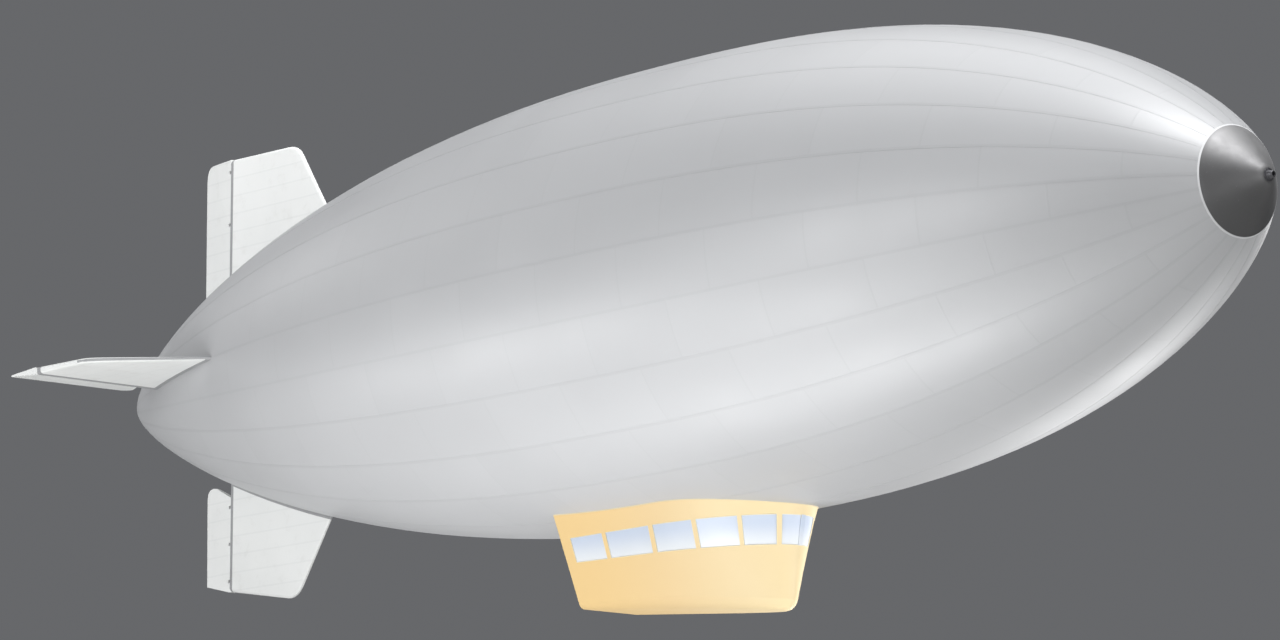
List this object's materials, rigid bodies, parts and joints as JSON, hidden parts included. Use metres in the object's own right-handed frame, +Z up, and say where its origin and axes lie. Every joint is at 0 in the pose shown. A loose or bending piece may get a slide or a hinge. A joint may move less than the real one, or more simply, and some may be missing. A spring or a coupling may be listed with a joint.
{
  "type": "airship",
  "caption": "Small non-rigid airship: tapering silver envelope, dark nose cap, cross of tail fins with hinged rudders and elevators, glazed cream cabin under the belly.",
  "frame": {"origin": "centre of buoyancy of the envelope, on its long axis", "axes": "+X to the nose along the envelope's axis, +Y to port, +Z up"},
  "size_m": [38.03, 10.92, 12.9053],
  "materials": {
    "envelope_fabric": "silver-grey coated envelope fabric, satin",
    "cap_plastic": "dark grey moulded cap, half matt",
    "fin_fabric": "near-white doped fin covering",
    "bare_steel": "bare steel, worn",
    "cabin_paint": "cream paint, half gloss",
    "cabin_lining": "pale cabin lining",
    "clear_glass": "pale blue acrylic glazing",
    "seat_cloth": "blue-grey seat cloth",
    "seat_frame": "grey moulded seat shell",
    "panel_black": "black crackle finish"
  },
  "bodies": {
    "hull": {"envelope": "envelope_fabric", "nose_cap": "cap_plastic", "mooring_fitting": "bare_steel", "fin_top": "fin_fabric", "fin_bottom": "fin_fabric", "fin_starboard": "fin_fabric", "fin_port": "fin_fabric", "cabin_side_starboard": "cabin_paint", "cabin_side_port": "cabin_paint", "cabin_bow": "cabin_paint", "cabin_bulkhead": "cabin_paint", "cabin_pan": "cabin_paint", "cabin_deck": "cabin_lining", "cabin_roof": "cabin_lining", "window_starboard_1": "clear_glass", "window_starboard_2": "clear_glass", "window_starboard_3": "clear_glass", "window_starboard_4": "clear_glass", "window_starboard_5": "clear_glass", "window_starboard_6": "clear_glass", "window_port_1": "clear_glass", "window_port_2": "clear_glass", "window_port_4": "clear_glass", "window_port_5": "clear_glass", "window_port_6": "clear_glass", "pilot_seat_starboard_frame": "seat_frame", "pilot_seat_starboard_pad": "seat_cloth", "pilot_seat_port_frame": "seat_frame", "pilot_seat_port_pad": "seat_cloth", "passenger_bench_frame": "seat_frame", "passenger_bench_pad": "seat_cloth", "instrument_console": "panel_black", "control_wheel_starboard": "panel_black", "control_wheel_port": "panel_black"},
    "rudder_top": {"rudder_top": "fin_fabric", "rudder_top_hinge_rod": "bare_steel"},
    "rudder_bottom": {"rudder_bottom": "fin_fabric", "rudder_bottom_hinge_rod": "bare_steel"},
    "elevator_starboard": {"elevator_starboard": "fin_fabric", "elevator_starboard_hinge_rod": "bare_steel"},
    "elevator_port": {"elevator_port": "fin_fabric", "elevator_port_hinge_rod": "bare_steel"},
    "door": {"cabin_door": "cabin_paint", "window_port_3": "clear_glass", "door_handle": "bare_steel"}
  },
  "joints": [
    {"name": "rudder_top_turn", "type": "hinge", "parent": "hull", "child": "rudder_top", "pos_m": [-16.54, 0, 4], "axis": [0, 0, 1], "range_deg": [-25, 25]},
    {"name": "rudder_bottom_turn", "type": "hinge", "parent": "hull", "child": "rudder_bottom", "pos_m": [-16.36, 0, -3.7], "axis": [0, 0, 1], "range_deg": [-25, 25]},
    {"name": "elevator_starboard_turn", "type": "hinge", "parent": "hull", "child": "elevator_starboard", "pos_m": [-16.8, -4, 0], "axis": [0, 1, 0], "range_deg": [-25, 25]},
    {"name": "elevator_port_turn", "type": "hinge", "parent": "hull", "child": "elevator_port", "pos_m": [-16.8, 4, 0], "axis": [0, 1, 0], "range_deg": [-25, 25]},
    {"name": "door_swing", "type": "hinge", "parent": "hull", "child": "door", "pos_m": [1.96202, 0.84551, -6.65048], "axis": [-0.12, -0.3314, -0.9358], "range_deg": [0, 80]}
  ],
  "couplings": [
    {"joint": "rudder_bottom_turn", "follows": "rudder_top_turn", "ratio": 1},
    {"joint": "elevator_port_turn", "follows": "elevator_starboard_turn", "ratio": 1}
  ]
}
